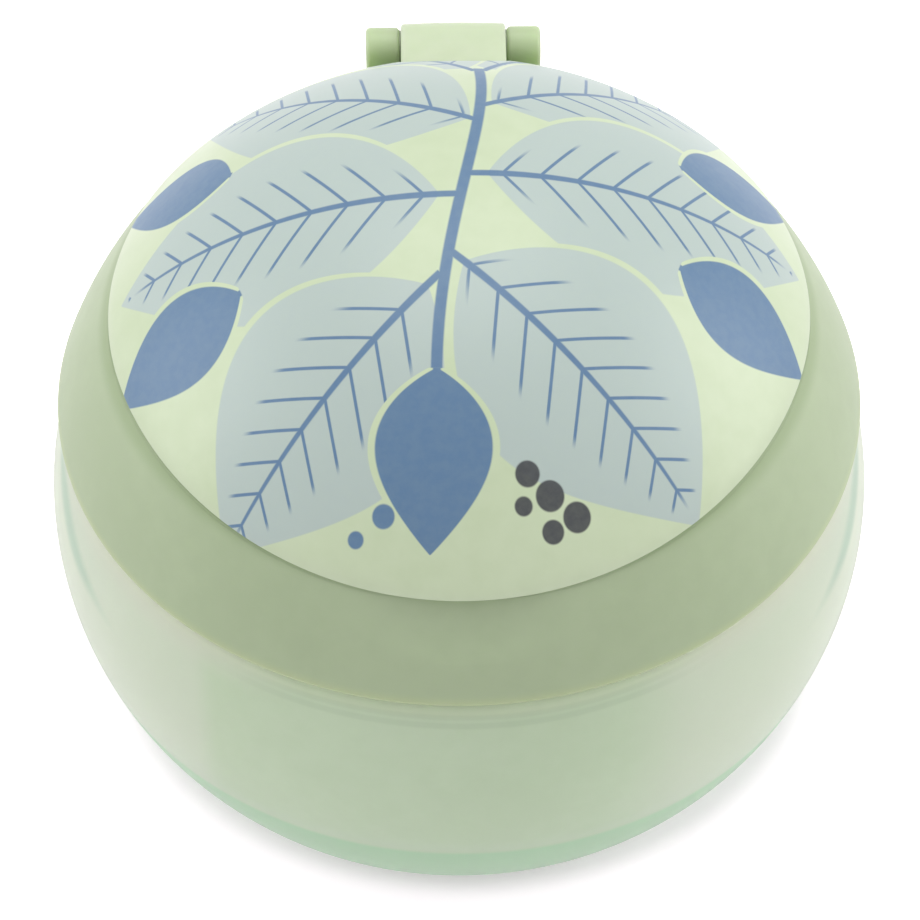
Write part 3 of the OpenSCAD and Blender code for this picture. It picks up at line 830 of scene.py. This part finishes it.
def hinge_rod(x, length, r):
    """A round rod on the hinge's axis, with its middle at x."""
    nothing_selected()
    bpy.ops.mesh.primitive_cylinder_add(vertices=48, radius=r * MM, depth=length * MM,
                                        location=(x * MM, HINGE_Y * MM, HINGE_Z * MM),
                                        rotation=(0, pi / 2, 0))
    return bpy.context.object


lug_x = KNUCKLE_L / 2 + KNUCKLE_GAP + LUG_L / 2
for name, x in (("hinge_lug_left", -lug_x), ("hinge_lug_right", lug_x)):
    piece = lug(name, x)
    cut_through(piece, hinge_rod(x, LUG_L + 2, PIN_R + PIN_IN_LUG))
    finish_piece(piece, MATERIALS["lug"], "collar", "collar_plastic")

first_rib = stiffening_rib("stiffening_rib_1")
first_rib.rotation_euler = (0, 0, radians(180 / RIBS))
settle(first_rib)
other_ribs = ["stiffening_rib_%d" % i for i in range(2, RIBS + 1)]
for piece in turned_copies(first_rib, other_ribs, 360 / RIBS):
    finish_piece(piece, MATERIALS["collar"], "collar", "collar_plastic")


def knuckle_and_strap():
    """The lid's barrel on the pin, with the strap that joins it to the dome."""
    top = HINGE_Z + KNUCKLE_R
    under = PARTING_Z + LID_GAP / 2 - STRAP_LAP
    outline = [(38.5, top - 0.25), (44.0, top - 0.12)]
    for k in range(33):
        a = radians(90 - 290 * k / 32)
        outline.append((HINGE_Y + KNUCKLE_R * cos(a), HINGE_Z + KNUCKLE_R * sin(a)))
    outline = [p for i, p in enumerate(outline)
               if i < 5 or not (p[1] > under - 0.05 and p[0] < HINGE_Y)]
    outline += [(HINGE_Y - sqrt(KNUCKLE_R ** 2 - (under - HINGE_Z) ** 2), under), (38.5, under)]
    piece = drawn_piece("lid_knuckle", outline, KNUCKLE_L)
    round_the_back(piece, [-5.5, -4, -2.5, -1, 1, 2.5, 4, 5.5])
    ease_edges(piece, 1.1, 5, 50)
    cut_through(piece, hinge_rod(0, KNUCKLE_L + 2, PIN_R + PIN_IN_KNUCKLE))
    return piece


finish_piece(knuckle_and_strap(), MATERIALS["knuckle"], "lid", "lid_plastic")


def hinge_pin():
    hinge_rod(0, 2 * (KNUCKLE_L / 2 + KNUCKLE_GAP + LUG_L - 0.4), PIN_R)
    piece = new_piece("hinge_pin_rod")
    settle(piece)
    ease_edges(piece, 0.2, 2, 60)
    return piece


finish_piece(hinge_pin(), MATERIALS["pin"], "collar", "pin_plastic", "hinge_pin")

# the lugs' low bosses run against the knuckle's ends
for side, name in ((-1, "lug_boss_left"), (1, "lug_boss_right")):
    hinge_rod(side * (KNUCKLE_L / 2 + KNUCKLE_GAP / 2 + 0.1), KNUCKLE_GAP + 0.15, BOSS_R)
    boss = new_piece(name)
    settle(boss)
    cut_through(boss, hinge_rod(side * KNUCKLE_L / 2, 4, PIN_R + PIN_IN_LUG))
    finish_piece(boss, MATERIALS["lug"], "collar", "collar_plastic")


# ---- Lid ----
def dome_shell(name, radius):
    """Cap of a ball, its rim brought down to the surface on which the lid lands."""
    rings, last = 96, 31        # of the whole ball, and the ring that becomes the rim
    step = pi / rings
    nothing_selected()
    bpy.ops.mesh.primitive_uv_sphere_add(segments=256, ring_count=rings, radius=radius * MM,
                                         location=(0, 0, DOME_Z * MM))
    cap = new_piece(name)
    settle(cap)
    bpy.ops.object.mode_set(mode="EDIT")
    pick(cap, "VERT", lambda v: v.co.z < (DOME_Z + radius * cos((last + 0.5) * step)) * MM)
    bpy.ops.mesh.delete(type="VERT")
    bpy.ops.object.mode_set(mode="OBJECT")
    for v in cap.data.vertices:
        x, y, z = v.co.x / MM, v.co.y / MM, v.co.z / MM - DOME_Z
        flat = sqrt(x * x + y * y)
        if flat < 1e-6:
            continue
        lean = y / flat
        rim_z = PARTING_Z + LID_GAP / 2
        for _ in range(30):
            rim_r = sqrt(max(radius * radius - (rim_z - DOME_Z) ** 2, 0))
            rim_z = parting_height(rim_r * lean) + LID_GAP / 2
        rim_angle = acos((rim_z - DOME_Z) / radius)
        angle = atan2(flat, z) * rim_angle / (last * step)
        new_r = radius * sin(angle)
        v.co = (x / flat * new_r * MM, y / flat * new_r * MM, (DOME_Z + radius * cos(angle)) * MM)
    return cap


def lid_dome():
    """Two caps, one inside the other, joined along their rims."""
    outer = dome_shell("printed_lid", DOME_R)
    inner = dome_shell("lid_inside", DOME_R - LID_WALL)
    bpy.ops.object.mode_set(mode="EDIT")
    bpy.ops.mesh.select_all(action="SELECT")
    bpy.ops.mesh.flip_normals()
    bpy.ops.object.mode_set(mode="OBJECT")
    take(outer)
    inner.select_set(True)
    bpy.ops.object.join()
    bpy.ops.object.mode_set(mode="EDIT")
    bpy.ops.mesh.select_mode(type="EDGE")
    bpy.ops.mesh.select_all(action="DESELECT")
    bpy.ops.mesh.select_non_manifold()
    bpy.ops.mesh.bridge_edge_loops()
    bpy.ops.object.mode_set(mode="OBJECT")
    ease_edges(outer, 0.26, 3, 35)
    return outer


def flatten_the_back(piece):
    """Cuts the dome's back down to the flat from which the strap runs to the knuckle."""
    out_y, out_z = sin(radians(FLAT_SLOPE)), cos(radians(FLAT_SLOPE))
    limit = DOME_R - FLAT_DEPTH
    for v in piece.data.vertices:
        x, y, z = v.co / MM
        past = y * out_y + (z - DOME_Z) * out_z - limit
        if past > 0 and y > 0:
            v.co.y -= past / out_y * MM


lid_piece = lid_dome()
flatten_the_back(lid_piece)
finish_piece(lid_piece, MATERIALS["lid"], "lid", "lid_plastic", "lid")


def within_lid_wall(r):
    """Height, at distance r, of the middle of the lid's wall."""
    return DOME_Z + sqrt((DOME_R - LID_WALL / 2) ** 2 - r ** 2)


plug = turned_piece("lid_plug_rib", rounded([
    (PLUG_R - PLUG_T, PLUG_Z, 0.4), (PLUG_R, PLUG_Z, 0.4), (PLUG_R, within_lid_wall(PLUG_R), 0),
    (PLUG_R - PLUG_T, within_lid_wall(PLUG_R - PLUG_T), 0)]), closed=True)
finish_piece(plug, MATERIALS["lid"], "lid", "lid_plastic")


# ---- Soft ring on the neck, and the ring that holds the insert up ----
def plain_ring(name, in_r, out_r, low, top, f):
    """A ring of rectangular section with its four edges rounded by f."""
    corners = [(in_r, low, f), (out_r, low, f), (out_r, top, f), (in_r, top, f)]
    return turned_piece(name, rounded(corners), closed=True)


seal_ring = plain_ring("neck_seal_ring", SEAL_IN_R, SEAL_OUT_R, SEAL_LOW, SEAL_TOP, 0.35)
finish_piece(seal_ring, MATERIALS["seal"], "seal", "seal_silicone", "neck_seal")
holding_ring = plain_ring("insert_holding_ring", HOLDING_IN_R, HOLDING_OUT_R, HOLDING_LOW,
                          HOLDING_TOP, 0.4)
finish_piece(holding_ring, MATERIALS["retainer"], "collar", "retainer_plastic", "insert_retainer")


# ---- Screw threads: three ridges on the neck and three in the collar's bore ----
def thread_ridge(name, root_r, crest_r, first_z, sweep):
    """One helical ridge whose ends run out to nothing, right-handed, on the lead of the screw."""
    outward = crest_r > root_r
    wall_r = root_r + (-RIDGE_ROOT if outward else RIDGE_ROOT)
    nothing_selected()
    bpy.ops.mesh.primitive_plane_add(size=2 * MM, location=(root_r * MM, 0, first_z * MM),
                                     rotation=(pi / 2, 0, 0))
    ridge = new_piece(name)
    settle(ridge)
    for v in ridge.data.vertices:
        at_wall = (v.co.x < root_r * MM) == outward
        half = RIDGE_FOOT if at_wall else RIDGE_CREST
        height = first_z + (-half if v.co.z < first_z * MM else half)
        v.co.x, v.co.z = (wall_r if at_wall else crest_r) * MM, height * MM
    bpy.ops.object.mode_set(mode="EDIT")
    bpy.ops.mesh.select_all(action="SELECT")
    bpy.ops.mesh.delete(type="ONLY_FACE")
    bpy.ops.object.mode_set(mode="OBJECT")
    turned = ridge.modifiers.new("turned", "SCREW")
    turned.axis = "Z"
    turned.angle = radians(sweep)
    turned.screw_offset = LEAD * sweep / 360 * MM
    turned.steps = turned.render_steps = int(sweep / 2.5)
    turned.use_merge_vertices = False
    bpy.ops.object.modifier_apply(modifier="turned")
    # close both ends and let them run out to the wall they stand on
    bpy.ops.object.mode_set(mode="EDIT")
    bpy.ops.mesh.select_all(action="DESELECT")
    bpy.ops.mesh.select_mode(type="EDGE")
    bpy.ops.mesh.select_non_manifold()
    bpy.ops.mesh.fill_holes(sides=8)
    turn_faces_out()
    run_out = radians(14)
    for v in ridge.data.vertices:
        r = sqrt(v.co.x ** 2 + v.co.y ** 2)
        turn = (v.co.z / MM - first_z) / LEAD * 2 * pi
        from_end = min(turn, radians(sweep) - turn) / run_out
        if from_end < 1:
            left = max(from_end, 0.0)
            goal = wall_r if abs(r / MM - crest_r) < 0.2 else r / MM
            new_r = (goal + (r / MM - goal) * (left * (2 - left))) * MM
            v.co.x *= new_r / r
            v.co.y *= new_r / r
    bpy.ops.object.shade_smooth_by_angle(angle=radians(35))
    return ridge


for label, root_r, crest_r, first_z, sweep, body, slot in (
        ("neck_thread", NECK_R, NECK_CREST_R, 52.9, 230, "bowl", "bowl_plastic"),
        ("collar_thread", BORE_R, BORE_CREST_R, 54.4, 190, "collar", "collar_plastic")):
    first = thread_ridge(label + "_1", root_r, crest_r, first_z, sweep)
    others = ["%s_%d" % (label, i) for i in range(2, STARTS + 1)]
    for piece in turned_copies(first, others, 360 / STARTS):
        put_on(piece, MATERIALS[body], body)


# ---- Soft flaps: bending leaves of the rubber insert ----
def soft_flap(name):
    """One leaf of the insert, along X: a wedge with rounded edges, thinner towards its tip."""
    length = FLAP_ROOT - FLAP_TIP
    nothing_selected()
    bpy.ops.mesh.primitive_cube_add(size=1, location=((FLAP_ROOT + FLAP_TIP) / 2 * MM, 0, FLAP_Z * MM),
                                    scale=(length * MM, 2 * MM, FLAP_T * MM))
    flap = new_piece(name)
    settle(flap)

    def half_width(x):
        return x * tan(pi / FLAPS) - FLAP_SLIT / 2 / cos(pi / FLAPS)

    bpy.ops.object.mode_set(mode="EDIT")
    for end in (FLAP_ROOT, FLAP_TIP):
        pick(flap, "FACE", lambda f: abs(f.center.x - end * MM) < 1e-5)
        bpy.ops.transform.resize(value=(1, half_width(end), 1))
    # cuts close together where it bends
    slice_across((1, 0, 0), (29.9, 28.9, 27.9, 26.9, 25.5, 22, 18, 14, 10, 6.5))
    bpy.ops.object.mode_set(mode="OBJECT")
    for v in flap.data.vertices:
        if v.co.z < FLAP_Z * MM:
            v.co.z += FLAP_TAPER * (FLAP_ROOT - v.co.x / MM) / length * MM
    ease_edges(flap, 0.22, 2, 50)
    bpy.ops.object.shade_smooth_by_angle(angle=radians(40))
    return flap


other_flaps = ["soft_flap_%d" % i for i in range(2, FLAPS + 1)]
for i, piece in enumerate(turned_copies(soft_flap("soft_flap_1"), other_flaps, 360 / FLAPS)):
    node = "flap_%d" % (i + 1)
    wear(piece, MATERIALS["flap"])
    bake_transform(piece)
    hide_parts(node)


# ---- Finish of the piece that keeps its form ----
wear(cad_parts["flap_ring"], MATERIALS["flap"])


# ---- Floor, light and camera ----
def reflected(b, path):
    """Whether a mirror or a clear part looks at it."""
    return b.maths("MAXIMUM", path["Is Glossy Ray"], path["Is Transmission Ray"])


def floor():
    """Pale floor that looks white to the camera, with a soft shadow round the foot, partly real and
    partly painted where the floor's light is made weaker near it.
    """
    nothing_selected()
    bpy.ops.mesh.primitive_plane_add(size=6, location=(0, 0, 0))
    ground = new_piece("floor")
    m = bpy.data.materials.new("floor_white")
    m.use_nodes = True
    b = Board(m.node_tree)
    shader = m.node_tree.nodes["Principled BSDF"]
    shader.inputs["Base Color"].default_value = (0.8, 0.79, 0.8, 1)
    shader.inputs["Roughness"].default_value = 0.9
    shader.inputs["Specular IOR Level"].default_value = 0.0
    path = b.add("ShaderNodeLightPath").outputs
    b.feed(shader.inputs["Emission Color"],
           b.blend(path["Is Camera Ray"], (1, 0.955, 0.985, 1), (1, 0.88, 0.975, 1)))
    # painted shadow: the floor's light is weaker near the foot and grows outwards in two steps, round an
    # oval a little wider than deep
    off = b.vector("SUBTRACT", b.add("ShaderNodeTexCoord").outputs["Object"], (0.001, 0, 0))
    from_middle = b.vector("LENGTH", b.vector("MULTIPLY", off, (0.884, 1, 1)))
    glow_with_painted_shadow = b.maths("ADD", b.ramp(from_middle, 0.0403, 0.0447, 0.35, 0.66),
                   b.ramp(from_middle, 0.045, 0.056, 0.0, 0.21))
    glow_with_painted_shadow = b.maths("MULTIPLY", path["Is Camera Ray"], glow_with_painted_shadow)
    b.feed(shader.inputs["Emission Strength"], b.maths("MULTIPLY_ADD", reflected(b, path), 0.5, glow_with_painted_shadow))
    # open to the eye from below, so that the foot can be looked at
    either = b.add("ShaderNodeMixShader")
    b.feed(either.inputs["Fac"], b.add("ShaderNodeNewGeometry").outputs["Backfacing"])
    b.feed(either.inputs[1], shader.outputs["BSDF"])
    b.feed(either.inputs[2], b.add("ShaderNodeBsdfTransparent").outputs["BSDF"])
    b.feed(m.node_tree.nodes["Material Output"].inputs["Surface"], either.outputs["Shader"])
    ground.data.materials.append(m)


def studio():
    """A white world that lights less than it shows, and four softboxes."""
    world = bpy.data.worlds.new("studio")
    bpy.context.scene.world = world
    world.use_nodes = True
    b = Board(world.node_tree)
    back = world.node_tree.nodes["Background"]
    path = b.add("ShaderNodeLightPath").outputs
    seen = b.maths("MAXIMUM", path["Is Camera Ray"], reflected(b, path))
    b.feed(back.inputs["Strength"], b.ramp(seen, 0.0, 1.0, 0.52, 1.0, smooth=False))
    back.inputs["Color"].default_value = (1, 1, 1, 1)

    def softbox(name, at, size, power):
        light = bpy.data.lights.new(name, "AREA")
        light.shape = "SQUARE"
        light.size = size
        light.energy = power
        o = bpy.data.objects.new(name, light)
        bpy.context.collection.objects.link(o)
        o.location = at
        o.rotation_euler = (aim - Vector(at)).to_track_quat("-Z", "Y").to_euler()

    aim = Vector((0, 0, 0.04))
    softbox("top_back_softbox", (0.0, 0.28, 0.95), 0.7, 3.1)
    softbox("front_fill", (0.0, -0.9, 0.35), 0.6, 0.4)
    softbox("left_softbox", (-0.85, 0.1, 0.4), 0.6, 2.5)
    softbox("right_softbox", (0.85, 0.1, 0.4), 0.6, 2.9)


def camera():
    lens = bpy.data.cameras.new("camera")
    lens.sensor_width = 36
    lens.lens = 130.64
    lens.clip_start, lens.clip_end = 0.01, 20
    o = bpy.data.objects.new("camera", lens)
    bpy.context.collection.objects.link(o)
    o.location = (-0.00465, -0.28663, 0.3684)
    o.rotation_euler = (radians(40.85), 0, radians(-0.952))
    bpy.context.scene.camera = o


floor()
studio()
camera()
bpy.context.scene.view_settings.view_transform = "Standard"
